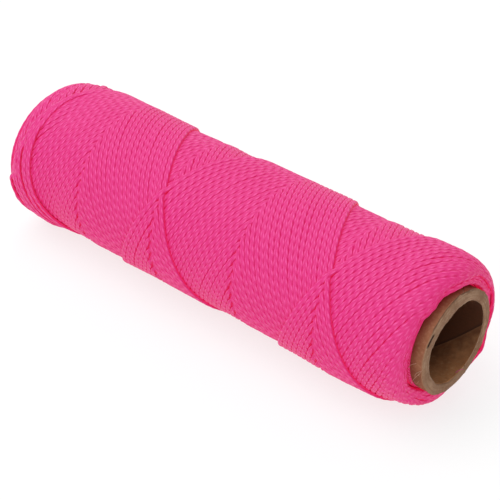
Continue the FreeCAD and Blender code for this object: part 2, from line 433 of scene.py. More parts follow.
@dataclass(frozen=True)
class LinerFinish(PaperFinish):
    """The bore's paper strip, darkened with painted shade along its spiral seam.

    The ramps take the place across the strip, from one seam at 0 to the next at 1.
    """

    # Painted shade in the bore.
    painted_shade: Colour = (0.056, 0.0155, 0.0055)
    seam: Colour = (0.02, 0.007, 0.004)
    lead: float = 0.092
    seam_place: float = 0.1
    seam_turn: float = -96.0
    mottle: Noise = Noise(420.0, 3.0)
    mottle_reach: float = 0.13
    beside_seam: Ramp = Ramp(0.0, 0.24, 0.88, 0.0)
    before_seam: Ramp = Ramp(0.48, 0.88, 0.0, 0.97)
    pale_edge: Ramp = Ramp(0.012, 0.004, 0.0, 0.05)
    dark_edge: Ramp = Ramp(0.985, 0.996, 0.0, 0.6)

    def mark(self, graph: Graph, base: Socket) -> Socket:
        """Adds painted shade across the strip, and the seam between its turns.

        Args:
            graph: the material's nodes.
            base: the paper's colour.

        Returns:
            The marked colour.
        """
        x, _, angle = graph.polar(self.axis_height)
        turned = graph.minus(angle, math.radians(self.seam_turn))
        seam = graph.times(turned, self.lead / (2 * math.pi))
        off = graph.minus(graph.minus(x, self.seam_place), seam)
        across = graph.math("FRACT", graph.math("DIVIDE", off, self.lead))
        mottle = graph.minus(graph.noise(graph.place(), self.mottle), 0.5)
        uneven = graph.plus(across, graph.times(mottle, self.mottle_reach))
        # Painted shade over the strip, but for a lighter band a little past the seam.
        beside = graph.ramp(uneven, self.beside_seam)
        shade_share = graph.math("MAXIMUM", beside, graph.ramp(uneven, self.before_seam))
        colour = graph.mix(shade_share, base, self.painted_shade)
        colour = graph.mix(graph.ramp(across, self.pale_edge), colour, self.fleck)
        return graph.mix(graph.ramp(across, self.dark_edge), colour, self.seam)


@dataclass(frozen=True)
class WrapFinish(PaperFinish):
    """The tube's outer paper, darkened beside the line with painted shade, tinted red as painted
    reflection of the pink line.
    """

    # Painted shade, tinted red as painted reflection of the line.
    painted_shade: Colour = (0.12, 0.018, 0.012)
    rim_place: float = 0.0952
    rim_wave: float = 0.0020
    rim_turn: float = -40.0
    ragged: Noise = Noise(500.0, 3.0)
    ragged_reach: float = 0.0022
    rim_shade_share: Ramp = Ramp(0.0009, 0.005, 0.95, 0.0)

    def mark(self, graph: Graph, base: Socket) -> Socket:
        """Adds painted shade beside the line's rim, which leans across the tube, tinted red as
        painted reflection of the line.

        Args:
            graph: the material's nodes.
            base: the paper's colour.

        Returns:
            The marked colour.
        """
        x, _, angle = graph.polar(self.axis_height)
        wave = graph.math("COSINE", graph.minus(angle, math.radians(self.rim_turn)))
        rim = graph.plus(graph.times(wave, self.rim_wave), self.rim_place)
        ragged = graph.times(graph.noise(graph.place(), self.ragged), self.ragged_reach)
        off = graph.plus(graph.minus(x, rim), ragged)
        # Painted shade and painted reflection beside the line's rim.
        return graph.mix(graph.ramp(off, self.rim_shade_share), base, self.painted_shade)


@dataclass(frozen=True)
class EdgeFinish(PaperFinish):
    """The board's crushed end: faint plies, the wrap's turned edge with a crease, and a crack.

    The crack's ramp takes degrees round the axis to its place, as a share of the half wall.
    """

    wrap: Colour = (0.28, 0.14, 0.075)
    slit: Colour = (0.03, 0.013, 0.008)
    plies: Noise = Noise(1.0, 3.0, (1400.0, 2.2, 1.0))
    ply_share: Ramp = Ramp(0.54, 0.36, 0.0, 0.8)
    fray: Noise = Noise(300.0)
    fray_reach: float = 0.0005
    wrap_radius: Ramp = Ramp(0.0190, 0.0193)
    wrap_edge: Ramp = Ramp(0.10045, 0.1004)
    crease: tuple[float, float] = (0.1004, 0.0004)
    crease_share: Ramp = Ramp(0.2, 0.8, 0.0, 0.6)
    crease_ends: tuple[Ramp, Ramp] = (Ramp(-30.0, -15.0), Ramp(58.0, 46.0))
    underside: Ramp = Ramp(95.0, 150.0, 0.0, 0.5)
    crack: Ramp = Ramp(50.0, 68.0, 0.22, 0.68)
    crack_half: float = 0.5
    crack_sides: Ramp = Ramp(0.35, 0.75)
    crack_ends: Ramp = Ramp(0.0, 0.35)
    wall_middle: float = 0.01805
    half_wall: float = 0.0022
    face: float = 0.1
    lip_depth: float = 0.0019

    def mark(self, graph: Graph, base: Socket) -> Socket:
        """Adds the ply lines, the wrap's turned edge with its crease, and the crack.

        Args:
            graph: the material's nodes.
            base: the board's colour.

        Returns:
            The marked colour.
        """
        x, radius, angle = graph.polar(self.axis_height)
        degrees = graph.math("DEGREES", angle)
        ring = graph.add("CombineXYZ")
        graph.feed(radius, ring.inputs[0])
        graph.feed(angle, ring.inputs[1])
        lines = graph.noise(ring.outputs[0], self.plies)
        colour = graph.mix(graph.ramp(lines, self.ply_share), base, self.dark)
        fray = graph.times(graph.noise(graph.place(), self.fray), self.fray_reach)
        edge = graph.plus(x, fray)
        outside = graph.ramp(radius, self.wrap_radius)
        turned = graph.times(graph.ramp(edge, self.wrap_edge), outside)
        colour = graph.mix(turned, colour, self.wrap)
        crease = graph.ramp(graph.band(edge, *self.crease), self.crease_share)
        crease = graph.times(crease, outside)
        for end in self.crease_ends:
            crease = graph.times(crease, graph.ramp(degrees, end))
        colour = graph.mix(crease, colour, self.slit)
        # Darker towards the bottom of the end.
        below = graph.ramp(graph.math("ABSOLUTE", degrees), self.underside)
        colour = graph.mix(below, colour, self.dark)
        return graph.mix(self.crack_share(graph, x, radius, degrees), colour, self.slit)

    def crack_share(self, graph: Graph, x: Socket, radius: Socket, degrees: Socket) -> Socket:
        """Works out where the crack is open.

        Args:
            graph: the material's nodes.
            x: the place along the tube.
            radius: the distance from its axis.
            degrees: the angle round it.

        Returns:
            The crack's share of the colour.
        """
        outward = graph.math("DIVIDE", graph.minus(radius, self.wall_middle), self.half_wall)
        behind = graph.math("DIVIDE", graph.minus(x, self.face), self.lip_depth)
        over = graph.minus(outward, behind)
        slit = graph.band(over, graph.ramp(degrees, self.crack), self.crack_half)
        middle = (self.crack.low + self.crack.high) / 2
        reach = graph.band(degrees, middle, self.crack.high - middle)
        return graph.times(graph.ramp(slit, self.crack_sides), graph.ramp(reach, self.crack_ends))


def around_axis(x: Values, radius: Values, turn: Values, height: float) -> Array:
    """Returns points at angles round an axis along X that lies at a height."""
    y, over = -radius * np.sin(np.radians(turn)), radius * np.cos(np.radians(turn))
    return np.stack(np.broadcast_arrays(x, y, height + over), axis=-1)


def rounded(values: Array, half: int) -> Array:
    """Rounds the bends of a row of values, over some samples to each side."""
    kernel = np.hanning(2 * half + 3)[1:-1]
    return np.convolve(np.pad(values, half, mode="edge"), kernel / kernel.sum(), mode="valid")


def placed(name: str, data: bpy.types.ID) -> Piece:
    """Makes an object and puts it in the scene.

    Args:
        name: the object's name.
        data: its mesh, lamp or camera.

    Returns:
        The new object.
    """
    piece = bpy.data.objects.new(name, data)
    bpy.context.scene.collection.objects.link(piece)
    return piece


@dataclass(frozen=True)
class Girth:
    """How much fuller, or slimmer, one side of the winding is than its even outline."""

    turn: float
    places: tuple[float, ...]
    heights: tuple[float, ...]
    narrow: float = 1.0

    def at(self, u: Array, turn: Array) -> Array:
        """Returns its height at places of the outline."""
        side = (0.5 + 0.5 * np.cos(np.radians(turn - self.turn))) ** self.narrow
        return np.interp(u, self.places, self.heights) * side


@dataclass
class WoundShape:
    """The wound package's outline: a belly with a rounded shoulder at each end.

    Places on it are distances along it, which equal X on the belly. The near rim's reach varies
    round the tube.
    """

    axis_height: float
    belly_radius: float
    tube_radius: float
    far_tip: float = -99.8
    near_tip: float = 98.6
    far_shoulder: float = 11.7
    near_shoulder: float = 13.2
    far_power: float = 2.35
    near_power: float = 2.2
    least_height: float = 0.85
    rim_start: float = 78.0
    rim_turns: tuple[float, ...] = (
        -150, -134, -112, -92, -60, -30, -3, 6, 14, 22, 29, 37, 44, 52, 62, 73, 83, 97, 114, 131,
        160, 195, 210,
    )
    rim_places: tuple[float, ...] = (
        96.6, 98.7, 96.9, 97.8, 98.3, 98.2, 98.4, 97.7, 96.8, 96.7, 97.1, 96.5, 95.5, 95.7, 95.3,
        95.5, 95.0, 94.9, 94.3, 94.0, 95.0, 96.0, 96.6,
    )
    girths: tuple[Girth, ...] = (
        Girth(
            -42.0,
            (-100, -93, -88, -78, -55, -40, -24, -15, -5, 15, 36, 45, 56, 66, 73, 83, 90, 97),
            (
                -0.3, -0.2, 0.25, -0.1, -0.2, -0.5, -0.1, 0.1, -0.4, -0.45, -0.2, -0.45, -0.4,
                0.1, -0.1, -0.25, -0.1, 0.9,
            ),
        ),
        Girth(
            138.0,
            (
                -103, -97, -92, -87, -82, -78, -73, -64, -55, -42, -27, 0, 12, 24, 38, 47, 62, 70,
                84, 88, 91, 97, 101,
            ),
            (
                1.2, 0.4, -0.3, 0.1, 0.3, -0.4, -0.8, -0.1, 0.4, -0.1, -0.45, -0.3, 0.0, 0.4, 0.1,
                0.15, 0.75, 0.6, 0.1, -0.2, -0.5, 0.9, 1.2,
            ),
        ),
        Girth(95.0, (-103, -99, -93), (1.0, 0.9, 0.0)),
        Girth(-5.0, (-103, -96, -89), (-1.0, -0.6, 0.0)),
        Girth(171.0, (90, 94, 98, 102), (0.0, 0.8, 1.8, 1.4), 16.0),
    )
    arc_points: int = 80
    fine_points: int = 2400
    distance: Array = field(init=False)
    rows: Array = field(init=False)

    def __post_init__(self) -> None:
        """Works out the outline's points and normals by the distance along it."""
        far_q, far_r = self.shoulder(self.far_shoulder, self.far_power)
        near_q, near_r = self.shoulder(self.near_shoulder, self.near_power)
        far_x = self.far_tip + self.far_shoulder - far_q
        near_x = self.near_tip - self.near_shoulder + near_q
        x = np.concatenate([far_x[::-1], near_x])
        r = np.concatenate([far_r[::-1], near_r])
        along = np.concatenate([[0.0], np.cumsum(np.hypot(np.diff(x), np.diff(r)))])
        along += x[self.arc_points - 1] - along[self.arc_points - 1]
        self.distance = np.linspace(along[0], along[-1], self.fine_points)
        fine_x = np.interp(self.distance, along, x)
        fine_r = np.interp(self.distance, along, r)
        slope_x, slope_r = np.gradient(fine_x), np.gradient(fine_r)
        length = np.hypot(slope_x, slope_r)
        self.rows = np.stack([fine_x, fine_r, -slope_r / length, slope_x / length])

    def shoulder(self, length: float, power: float) -> tuple[Array, Array]:
        """Works out one rounded shoulder.

        Args:
            length: its length along the axis.
            power: the exponent of its curve, where 2 is an ellipse.

        Returns:
            The distances from the belly's end and the radii.
        """
        turn = np.linspace(0.0, math.pi / 2, self.arc_points)
        drop = self.belly_radius - self.tube_radius
        reach = np.sin(turn) ** (2 / power) * length
        return reach, self.tube_radius + drop * np.cos(turn) ** (2 / power)

    def at(self, u: Array) -> list[Array]:
        """Returns X, the radius, and the normal's parts along X and outwards at places of it."""
        return [np.interp(u, self.distance, row) for row in self.rows]

    def rim(self, turn: Array) -> Array:
        """Returns how far the near rim reaches along the axis at angles round it."""
        folded = np.mod(turn - self.rim_turns[0], 360.0) + self.rim_turns[0]
        return np.interp(folded, self.rim_turns, self.rim_places)

    def lift(self, u: Array, turn: Array, height: Array) -> tuple[Array, Array]:
        """Places points over the outline.

        Args:
            u: distances along the outline.
            turn: angles round the axis.
            height: heights over the outline.

        Returns:
            The points and the outward normals.
        """
        x, r, normal_x, normal_r = self.at(u)
        height = height + sum(girth.at(u, turn) for girth in self.girths)
        share = np.clip((x - self.rim_start) / (self.near_tip - self.rim_start), 0.0, 1.0)
        x = x + (self.rim(turn) - self.near_tip) * share**2 + normal_x * height
        radius = np.maximum(r + normal_r * height, self.tube_radius + self.least_height)
        points = around_axis(x, radius, turn, self.axis_height)
        return points, around_axis(normal_x, normal_r, turn, 0.0)


@dataclass
class Way:
    """Where the line goes: one sample for each degree that the package turns.

    It gives the distance along the outline, the angle round the axis, the degrees from the
    nearest reversal, the height over the finished outline of an evenly wound strand's top, and
    the degrees from the nearest step down.
    """

    u: Array
    turn: Array
    away: Array
    even: Array
    dive: Array

    def insert(self, place: int, extra: "Way") -> "Way":
        """Returns the way with another put in before one of its samples."""
        pairs = zip(astuple(self), astuple(extra))
        return Way(*(np.concatenate([row[:place], more, row[place:]]) for row, more in pairs))


@dataclass
class Line:
    """The line as it lies: its place, whether it shows, and how flat and wide it is pressed."""

    u: Array
    turn: Array
    height: Array
    shows: Array
    flat: Array
    width: Array


@dataclass
class Winder:
    """Lays the line on the package as a winding machine does, to and fro while the package turns.

    The vertex of each reversal is where its two straight runs would meet. The line turns back
    short of it, and its overrun pushes that bend out again. Reversals are counted backwards from
    the last near one, two to a cycle. The last far vertices are pulled in, and the last far
    overruns are their own.
    """

    shape: WoundShape
    cycles: int = 60
    covering: int = 36
    pitch: float = 79.0
    traverse: float = 905.0
    near_vertex: float = 100.2
    turn_back: float = 60.0
    last_turn: float = 221.5
    unwound: float = 45.0
    spacing: float = 2.02
    half_width: float = 1.14
    half_height: float = 0.8
    press: float = 0.25
    overrun: float = 5.6
    overrun_wave: float = 0.5
    overrun_beat: float = 1.7
    overrun_reach: float = 85.0
    last_far_overruns: tuple[float, ...] = (0.0, 0.9, 3.2, 4.2, 4.6, 6.5, 7.0)
    far_pull: float = 5.6
    far_pull_cycles: float = 6.0
    far_pull_reach: float = 260.0
    lead_wave: float = 1.2
    lead_turn: float = 48.0
    wander: float = 0.08
    wander_every: int = 45
    seed: int = 7
    end_turns: int = 6
    end_inset: float = 11.5
    end_hold: float = 60.0
    end_rounding: int = 29
    end_climb: float = 1.5
    end_top: float = 0.9
    end_dive: float = 90.0
    far_flattened: float = 0.45
    near_flattened: float = 0.25
    flat_reach: tuple[float, float] = (45.0, 110.0)
    spread: float = 0.15
    pinch: float = 0.17
    pinch_reach: float = 3.5

    @property
    def rise(self) -> float:
        """The line's travel along the package for one degree of turn."""
        return self.pitch / 360.0

    @property
    def layer(self) -> float:
        """The height that one covering in one direction adds."""
        return 2 * self.half_height * (1 - self.press)

    def arch(self, side: Values) -> Values:
        """Returns the line's half height at an offset from its middle."""
        return self.half_height * np.sqrt(1 - (side / self.half_width) ** 2)

    def reversal(self, number: int) -> tuple[float, float, float, int]:
        """Describes one reversal.

        Args:
            number: its number, counted backwards.

        Returns:
            The distance of its vertex from the middle, the vertex's shift outwards, the overrun,
            and the end's sign.
        """
        cycle = number // 2
        overrun = self.overrun + self.overrun_wave * math.sin(cycle * self.overrun_beat)
        if number % 2 == 0:
            return self.near_vertex, 0.0, overrun, End.NEAR.value
        if cycle < len(self.last_far_overruns):
            overrun = self.last_far_overruns[cycle]
        shift = -self.far_pull * math.exp(-cycle / self.far_pull_cycles)
        return self.rise * self.traverse - self.near_vertex, shift, overrun, End.FAR.value

    def route(self) -> Way:
        """Works out the line's way over the package.

        A strand crosses the fresh edge of the other direction's layer each half turn of the
        package, always at the same places, and steps down there. In between it rises by a layer.
        Close turns cover the far shoulder before the first stroke, and the near one after it.

        Returns:
            The way.
        """
        wound = np.arange((1 - 2 * self.cycles) * self.traverse, -self.unwound, 1.0)
        number = np.round(-wound / self.traverse).astype(int)
        reversals = np.array([self.reversal(each) for each in range(number.max() + 1)])
        vertex, shift, overrun, heading = reversals[number].T
        away = wound + number * self.traverse
        blunt = away**2 / (2 * self.turn_back) + self.turn_back / 2
        run = np.where(np.abs(away) < self.turn_back, blunt, np.abs(away))
        shift = shift * self.swell(away, self.far_pull_reach)
        overrun = overrun * self.swell(away, self.overrun_reach)
        turn = self.last_turn - wound
        settled = np.clip(np.abs(away) / self.overrun_reach, 0.0, 1.0) ** 2 * np.sign(away)
        lead = settled * self.lead_wave * np.sin(np.radians(turn - self.lead_turn))
        u = heading * (vertex - self.rise * run + (shift + overrun) + lead)
        since = np.mod(wound, self.traverse)
        share = np.mod((2 * since - 360.0 / self.covering / 2) / 360.0, 1.0)
        dive = (np.mod(share + 0.5, 1.0) - 0.5) * 180.0
        even = self.layer * (share + 2 * wound / (2 * self.traverse * self.covering))
        way = Way(u, turn, away, even, dive)
        for place, end in ((int(self.traverse), End.NEAR), (0, End.FAR)):
            extra = self.end_layer(end, way, place)
            way.turn[:place] += len(extra.turn)
            way = way.insert(place, extra)
        way.u += self.drift(len(way.u)) * self.wander
        limit = self.spacing / 2
        way.u = np.clip(way.u, self.shape.distance[0] + limit, self.shape.distance[-1] - limit)
        return way

    def end_layer(self, end: End, way: Way, place: int) -> Way:
        """Works out the close turns that cover one shoulder out to its rim.

        Args:
            end: the end that they cover.
            way: the line's way without them.
            place: the sample of it that follows them.

        Returns:
            Their own way, from the deepest layer up towards the surface.
        """
        rim = self.shape.distance[-1 if end is End.NEAR else 0] - end.value * self.spacing / 2
        inner = rim - end.value * self.end_inset
        whole = 360.0 * self.end_turns
        stops = [0.0, self.end_hold, whole - self.end_hold, whole]
        u = np.interp(np.arange(0.0, whole), stops, [inner, inner, rim, way.u[place]])
        u = rounded(u, self.end_rounding)
        risen = np.clip(self.end_climb * (u - inner) / (rim - inner), 0.0, self.end_top)
        turn = way.turn[place] + np.arange(len(u), 0, -1.0)
        away, dive = np.full(len(u), self.traverse), np.full(len(u), self.end_dive)
        return Way(u, turn, away, way.even[0] * (1 - risen), dive)

    @staticmethod
    def swell(away: Array, reach: float) -> Array:
        """Returns a smooth hump, 1 at the reversal and 0 from reach degrees away."""
        return np.where(np.abs(away) < reach, np.cos(math.pi * away / (2 * reach)) ** 2, 0.0)

    def drift(self, count: int) -> Array:
        """Returns a smooth random value for each sample, mostly from -1 to 1."""
        draws = np.random.default_rng(self.seed).normal(size=count // self.wander_every + 3)
        return np.interp(np.arange(count) / self.wander_every, np.arange(len(draws)), draws)

    def lay(self) -> Line:
        """Lays the whole line, strand over strand.

        Returns:
            The line.
        """
        way = self.route()
        laying = Laying(self, way)
        laying.run()
        flat = np.interp(np.abs(way.away), self.flat_reach, [1.0, 0.0])
        flat *= np.where(way.u < 0, self.far_flattened, self.near_flattened)
        pinched = self.pinch * np.exp(-((way.dive / self.pinch_reach) ** 2))
        width = 1 + flat * self.spread - pinched
        return Line(way.u, way.turn, laying.height, laying.shows(), flat, width)


@dataclass
class Laying:
    """The line while it is laid, over a map of how high the package stands in each cell.

    The line is taken in windows of samples. It bears on what lies below a part of its width,
    within some slack of an evenly wound strand, and it covers what lies below most of it.
    """

    winder: Winder
    way: Way
    cell_u: float = 0.25
    cell_turn: float = 0.5
    margin: float = 1.0
    window: int = 120
    overlap: int = 8
    rounding: int = 2
    slack: tuple[float, float] = (0.3, 0.12)
    slack_reach: tuple[float, float] = (60.0, 100.0)
    bearing: float = 0.62
    least_bearing: float = 0.3
    bearing_samples: int = 7
    cover: float = 0.4
    cover_samples: int = 9
    seen: float = 0.38
    seen_samples: int = 5
    seen_depth: float = 0.3
    radius: Array = field(init=False)
    along: Array = field(init=False)
    across: Array = field(init=False)
    start: float = field(init=False)
    top: Array = field(init=False)
    height: Array = field(init=False)

    def __post_init__(self) -> None:
        """Works out the line's direction, and starts with an even bed under all of it."""
        self.radius = self.winder.shape.at(self.way.u)[1]
        along = np.gradient(self.way.u)
        across = np.gradient(np.radians(self.way.turn)) * self.radius
        length = np.hypot(along, across)
        self.along, self.across = along / length, across / length
        distance = self.winder.shape.distance
        self.start = distance[0] - self.margin
        rows = int((distance[-1] + self.margin - self.start) / self.cell_u) + 2
        columns = int(360 / self.cell_turn)
        self.top = np.full((rows, columns), self.way.even[0] - self.winder.layer)
        self.height = np.zeros(len(self.way.u))

    def cells(self, index: Array, side: Values) -> tuple[Array, Array]:
        """Finds the map's cells beside the line.

        Args:
            index: the line's samples.
            side: the offset across the line.

        Returns:
            The cells' rows and columns.
        """
        at_u = self.way.u[index] - side * self.across[index]
        at_turn = self.way.turn[index] + np.degrees(side * self.along[index] / self.radius[index])
        row = ((at_u - self.start) / self.cell_u + 0.5).astype(int)
        column = np.floor(at_turn / self.cell_turn + 0.5).astype(int) % self.top.shape[1]
        return np.clip(row, 0, self.top.shape[0] - 1), column

    def rest(self, index: Array) -> Array:
        """Finds how high the strand's top rides on what lies below it.

        Args:
            index: the line's samples.

        Returns:
            The heights.
        """
        away, even = np.abs(self.way.away[index]), self.way.even[index]
        crowd = np.clip(away / self.winder.turn_back, self.least_bearing, 1.0)
        rides = np.full(len(index), -np.inf)
        for share in np.linspace(-1.0, 1.0, self.bearing_samples):
            side = share * self.bearing * crowd
            rides = np.maximum(rides, self.top[self.cells(index, side)] + self.winder.arch(side))
        rides += (1 - 2 * self.winder.press) * self.winder.half_height
        slack = np.interp(away, self.slack_reach, self.slack)
        return np.clip(rides, even - slack, even + slack)

    def run(self) -> None:
        """Lays all windows in turn, and knows each next one's rest in time to smooth their seam."""
        count = len(self.height)
        sides = np.linspace(-self.cover, self.cover, self.cover_samples) * self.winder.spacing
        windows = np.split(np.arange(count), np.arange(self.window, count, self.window))
        tops = np.zeros(count)
        tops[windows[0]] = self.rest(windows[0])
        for number, index in enumerate(windows):
            if number + 1 < len(windows):
                tops[windows[number + 1]] = self.rest(windows[number + 1])
            first, last = max(0, index[0] - self.overlap), index[-1] + self.overlap + 1
            tight = rounded(self.bridged(tops[first:last]), self.rounding)
            self.height[index] = tight[index - first] - self.winder.half_height
            for side in sides:
                top = self.height[index] + self.winder.arch(side)
                np.maximum.at(self.top, self.cells(index, side), top)

    @staticmethod
    def bridged(values: Array) -> Array:
        """Returns each value as high as its neighbours, as a tight strand bridges dips."""
        around = np.pad(values, 1, mode="edge")
        return np.maximum(values, np.maximum(around[:-2], around[2:]))

    def shows(self) -> Array:
        """Finds which samples of the laid line lie at the surface.

        Returns:
            Whether each sample shows.
        """
        everywhere = np.arange(len(self.height))
        shows = np.zeros(len(self.height), bool)
        for side in np.linspace(-self.seen, self.seen, self.seen_samples) * self.winder.spacing:
            top = self.height + self.winder.arch(side)
            shows |= top > self.top[self.cells(everywhere, side)] - self.seen_depth
        return shows


@dataclass
class WoundLine:
    """The line's own meshes: its outer turns as one braided tube, over a bed of deeper turns.

    The tube's rings are close where the line shows and sparse where it is hidden. U starts again
    after many stitches, so that single precision keeps the plaits sharp.
    """

    shape: WoundShape
    winder: Winder
    stitch: float = 3.5
    rings_per_stitch: int = 5
    hidden_step: int = 12
    shown_share: float = 0.01
    shown_margin: int = 3
    sides: int = 8
    stretches: int = 8
    plait_swell: float = 0.05
    raised_from: float = -0.5
    stitches_mapped: float = 1000.0
    bed_rows: int = 90
    bed_step: float = 5.0
    bed_gap: float = 0.02
    bed_map: tuple[float, float] = (1.2, 0.5)
    finish: BraidFinish = BraidFinish()

    def build(self) -> list[Piece]:
        """Builds the bed and the line's stretches.

        Returns:
            The new pieces.
        """
        material = self.finish.material()
        at, rings = self.rings(self.winder.lay())
        pieces = [self.build_bed()]
        bounds = np.linspace(0, len(at) - 1, self.stretches + 1).astype(int)
        for number, (first, last) in enumerate(zip(bounds[:-1], bounds[1:]), start=1):
            name = f"braided_line_stretch_{number}"
            pieces.append(self.tube(name, rings[first : last + 1], at[first : last + 1]))
            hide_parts("line_outer_turns")
        for piece in pieces:
            piece.data.materials.append(material)
            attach(piece, BODY)
        return pieces

    def rings(self, line: Line) -> tuple[Array, Array]:
        """Works out the tube's rings.

        Args:
            line: the line as it lies.

        Returns:
            The rings' places along the line, and their corners as rings by sides by three.
        """
        points, normals = self.shape.lift(line.u, line.turn, line.height)
        steps = np.linalg.norm(np.diff(points, axis=0), axis=1)
        travelled = np.concatenate([[0.0], np.cumsum(steps)])
        at = self.ring_places(travelled, line.shows)
        LOG.info("line: %.1f m wound, %d rings", travelled[-1] / 1000, len(at))
        rows = (*points.T, *normals.T, line.flat, line.width)
        rows = np.stack([np.interp(at, travelled, row) for row in rows])
        centre, normal = rows[:3].T, rows[3:6].T
        flat, width = rows[6:, :, None]
        tangent = np.gradient(centre, axis=0)
        tangent /= np.linalg.norm(tangent, axis=1)[:, None]
        normal = normal - tangent * np.sum(normal * tangent, axis=1)[:, None]
        normal /= np.linalg.norm(normal, axis=1)[:, None]
        side = np.cross(tangent, normal)
        angle = (np.arange(self.sides) + 0.5) * 2 * math.pi / self.sides
        sine, cosine = np.sin(angle), np.cos(angle)
        phase = at[:, None] / self.stitch + (sine < 0) * 0.5
        swell = 1 + self.plait_swell * np.cos(2 * math.pi * phase)
        raised = flat * (1 - cosine) * (cosine > self.raised_from)
        up = (cosine + raised) * self.winder.half_height * swell
        out = sine * self.winder.half_width * swell * width
        corners = centre[:, None] + up[..., None] * normal[:, None] + out[..., None] * side[:, None]
        corners[:, :, 2] = np.maximum(corners[:, :, 2], 0.0)
        return at, corners

    def ring_places(self, travelled: Array, shows: Array) -> Array:
        """Spaces the rings along the line.

        Args:
            travelled: how far along the line each sample lies.
            shows: whether each sample shows.

        Returns:
            The rings' places along the line.
        """
        at = np.arange(0.0, travelled[-1], self.stitch / self.rings_per_stitch)
        shown = np.interp(at, travelled, shows.astype(float)) > self.shown_share
        kept = np.convolve(shown, np.ones(2 * self.shown_margin + 1), mode="same") > 0
        kept |= np.arange(len(at)) % self.hidden_step == 0
        return at[kept]

    def tube(self, name: str, rings: Array, at: Array) -> Piece:
        """Makes one stretch's closed mesh.

        Args:
            name: the piece's name.
            rings: the rings' corners.
            at: the rings' places along the line.

        Returns:
            The new object.
        """
        count, sides = rings.shape[:2]
        grid = np.arange(count * sides).reshape(count, sides)
        turned = np.roll(grid, -1, axis=1)
        quads = np.stack([grid[:-1], turned[:-1], turned[1:], grid[1:]], -1).reshape(-1, 4)
        faces = quads.tolist() + [grid[0, ::-1].tolist(), grid[-1].tolist()]
        low = np.repeat((at / self.stitch % self.stitches_mapped)[:-1, None], sides, 1)
        high = low + np.diff(at)[:, None] / self.stitch
        start = np.broadcast_to((np.arange(sides) + 0.5) / sides, low.shape)
        end = start + 1 / sides
        corners = [(low, start), (low, end), (high, end), (high, start)]
        uv = np.stack([np.stack(corner, -1) for corner in corners], axis=2).reshape(-1, 2)
        return self.mesh(name, rings, faces, np.concatenate([uv, np.zeros((2 * sides, 2))]))

    def build_bed(self) -> Piece:
        """Makes the bed of deeper turns that the modelled line lies on.

        Returns:
            The new object.
        """
        distances = np.linspace(self.shape.distance[0], self.shape.distance[-1], self.bed_rows)
        turns = np.arange(0.0, 360.0, self.bed_step)
        u, turn = np.meshgrid(distances, turns, indexing="ij")
        depth = 2 * self.winder.layer * self.winder.cycles / self.winder.covering
        rows, _ = self.shape.lift(u, turn, np.full(u.shape, -depth))
        inner = self.shape.tube_radius + self.bed_gap
        for x in (rows[-1, 0, 0], rows[0, 0, 0]):
            ring = around_axis(x, inner, turns, self.shape.axis_height)
            rows = np.concatenate([rows, ring[None]])
        rows[:, :, 2] = np.maximum(rows[:, :, 2], 0.0)
        grid = np.arange(rows[:, :, 0].size).reshape(rows.shape[:2])
        beyond = np.roll(grid, -1, axis=0)
        faces = np.stack([grid, beyond, np.roll(beyond, -1, axis=1), np.roll(grid, -1, axis=1)], -1)
        uv = np.stack([faces.ravel() % len(turns), faces.ravel() // len(turns)], -1) * self.bed_map
        piece = self.mesh("line_bed", rows, faces.reshape(-1, 4).tolist(), uv)
        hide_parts("line_inner_layers")
        return piece

    @staticmethod
    def mesh(name: str, points: Array, faces: list[list[int]], uv: Array) -> Piece:
        """Makes a smooth piece with the line's UV map.

        Args:
            name: the piece's name.
            points: its points.
            faces: the numbers of each face's points.
            uv: the map's place for each face's corner.

        Returns:
            The new object.
        """
        mesh = bpy.data.meshes.new(name)
        mesh.from_pydata((points.reshape(-1, 3) * MM).tolist(), [], faces)
        layer = mesh.uv_layers.new(name=UV_MAP)
        layer.data.foreach_set("uv", uv.astype(np.float32).ravel())
        mesh.polygons.foreach_set("use_smooth", np.ones(len(mesh.polygons), bool))
        mesh.update()
        return placed(name, mesh)


@dataclass
class PaperTube:
    """The spiral paper tube: its CAD plies with their papers."""

    liner: PaperFinish = LinerFinish(
        "brown_liner_paper", (0.44, 0.2, 0.083), (0.3, 0.122, 0.046), (0.5, 0.28, 0.14)
    )
    board: PaperFinish = PaperFinish(
        "grey_board", (0.36, 0.235, 0.155), (0.27, 0.15, 0.088), (0.42, 0.29, 0.2)
    )
    wrap: PaperFinish = WrapFinish(
        "kraft_wrap", (0.275, 0.122, 0.062), (0.19, 0.07, 0.034), (0.36, 0.19, 0.11)
    )

    def dress(self) -> None:
        """Gives each ply of the tube its paper."""
        papers = {
            "core_inner_liner": self.liner.material(),
            "core_outer_wrap": self.wrap.material(),
        }
        board = self.board.material()
        for name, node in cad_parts.items():
            if name.startswith("core_"):
                node.data.materials.clear()
                node.data.materials.append(papers.get(name, board))
                LOG.info("dressed %s", name)


@dataclass(frozen=True)
class Dent:
    """A push outwards of the tube's end round one angle: its size at the bore and in the wall."""

    turn: float
    spread: float
    inner: float
    outer: float

    def at(self, turn: float, inward: float) -> float:
        """Returns its push at an angle, where inward goes from 0 in the wall to 1 at its bore."""
        off = ((turn - self.turn + 180.0) % 360.0 - 180.0) / self.spread
        return math.exp(-(off**2)) * (self.outer + (self.inner - self.outer) * inward)


@dataclass(frozen=True)
class Ripple:
    """A wave round the tube's end: its height, how many there are, and its start in radians."""

    height: float
    count: int
    start: float

    def at(self, turn: float) -> float:
        """Returns its height at an angle."""
        return self.height * math.sin(self.count * math.radians(turn) + self.start)


